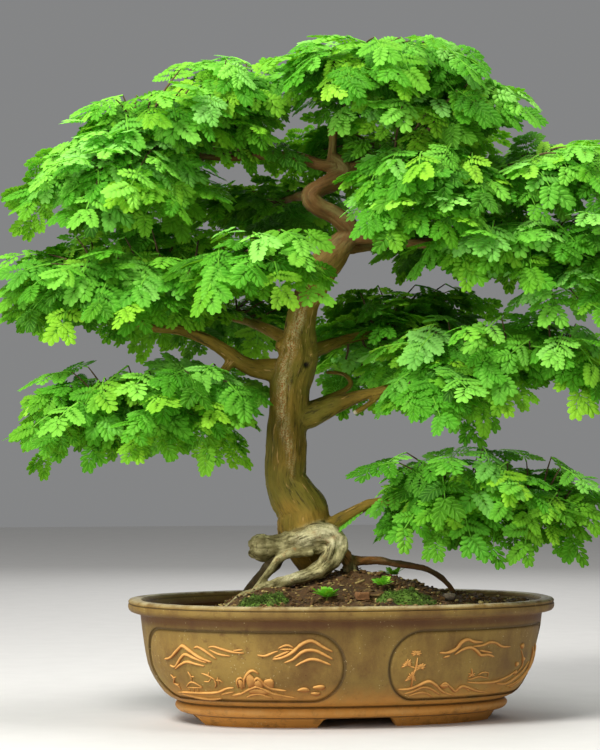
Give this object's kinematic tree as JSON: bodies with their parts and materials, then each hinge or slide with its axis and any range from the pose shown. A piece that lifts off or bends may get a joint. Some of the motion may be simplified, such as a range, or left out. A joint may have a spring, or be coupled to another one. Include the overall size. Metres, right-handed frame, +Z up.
{
  "type": "potted bonsai tree",
  "caption": "Mature bonsai with a curved trunk, gnarled surface roots and flat pads of feathery compound leaves, in a footed oval clay pot with landscape reliefs.",
  "frame": {"origin": "middle of the whole plant's bounding box, sideways and front to back, on the plane that the pot's feet stand on", "axes": "+Z up; X along the pot's length with +X to the right as seen from the front; the pot's front panels face -Y and the tree's best side is turned 10.5 degrees from them"},
  "size_m": [0.7644, 0.4402, 0.86],
  "materials": {
    "clay": "satin",
    "relief_clay": "matte",
    "soil": "matte",
    "bark": "matte",
    "leaves": "satin",
    "moss": "matte",
    "weed_leaves": "satin",
    "stone": "matte",
    "mesh_plastic": "matte"
  },
  "bodies": {
    "root": {"drain_mesh_left": "mesh_plastic", "drain_mesh_right": "mesh_plastic", "foliage_crown_back": "leaves", "foliage_crown_left": "leaves", "foliage_crown_right": "leaves", "foliage_crown_top": "leaves", "foliage_lower_left": "leaves", "foliage_lower_right": "leaves", "foliage_middle_back": "leaves", "foliage_middle_left_back": "leaves", "foliage_middle_right": "leaves", "foliage_shoulder_back": "leaves", "foliage_shoulder_front": "leaves", "foliage_shoulder_left": "leaves", "foliage_shoulder_right": "leaves", "foliage_upper_back": "leaves", "foliage_upper_left": "leaves", "foliage_upper_right": "leaves", "moss_back": "moss", "moss_front_left": "moss", "moss_front_right": "moss", "pot": "clay", "relief_back_cliff": "relief_clay", "relief_back_maple": "relief_clay", "relief_back_ridge_centre": "relief_clay", "relief_back_ridge_left": "relief_clay", "relief_back_ridge_right": "relief_clay", "relief_back_rocks": "relief_clay", "relief_back_shore_left": "relief_clay", "relief_back_shore_right": "relief_clay", "relief_front_cliff": "relief_clay", "relief_front_maple": "relief_clay", "relief_front_ridge_centre": "relief_clay", "relief_front_ridge_left": "relief_clay", "relief_front_ridge_right": "relief_clay", "relief_front_rocks": "relief_clay", "relief_front_shore_left": "relief_clay", "relief_front_shore_right": "relief_clay", "soil": "soil", "stone_flat": "stone", "stone_left": "stone", "stone_right": "stone", "trunk": "bark", "weed_behind_stump": "weed_leaves", "weed_front": "weed_leaves", "weed_right": "weed_leaves"}
  },
  "joints": []
}
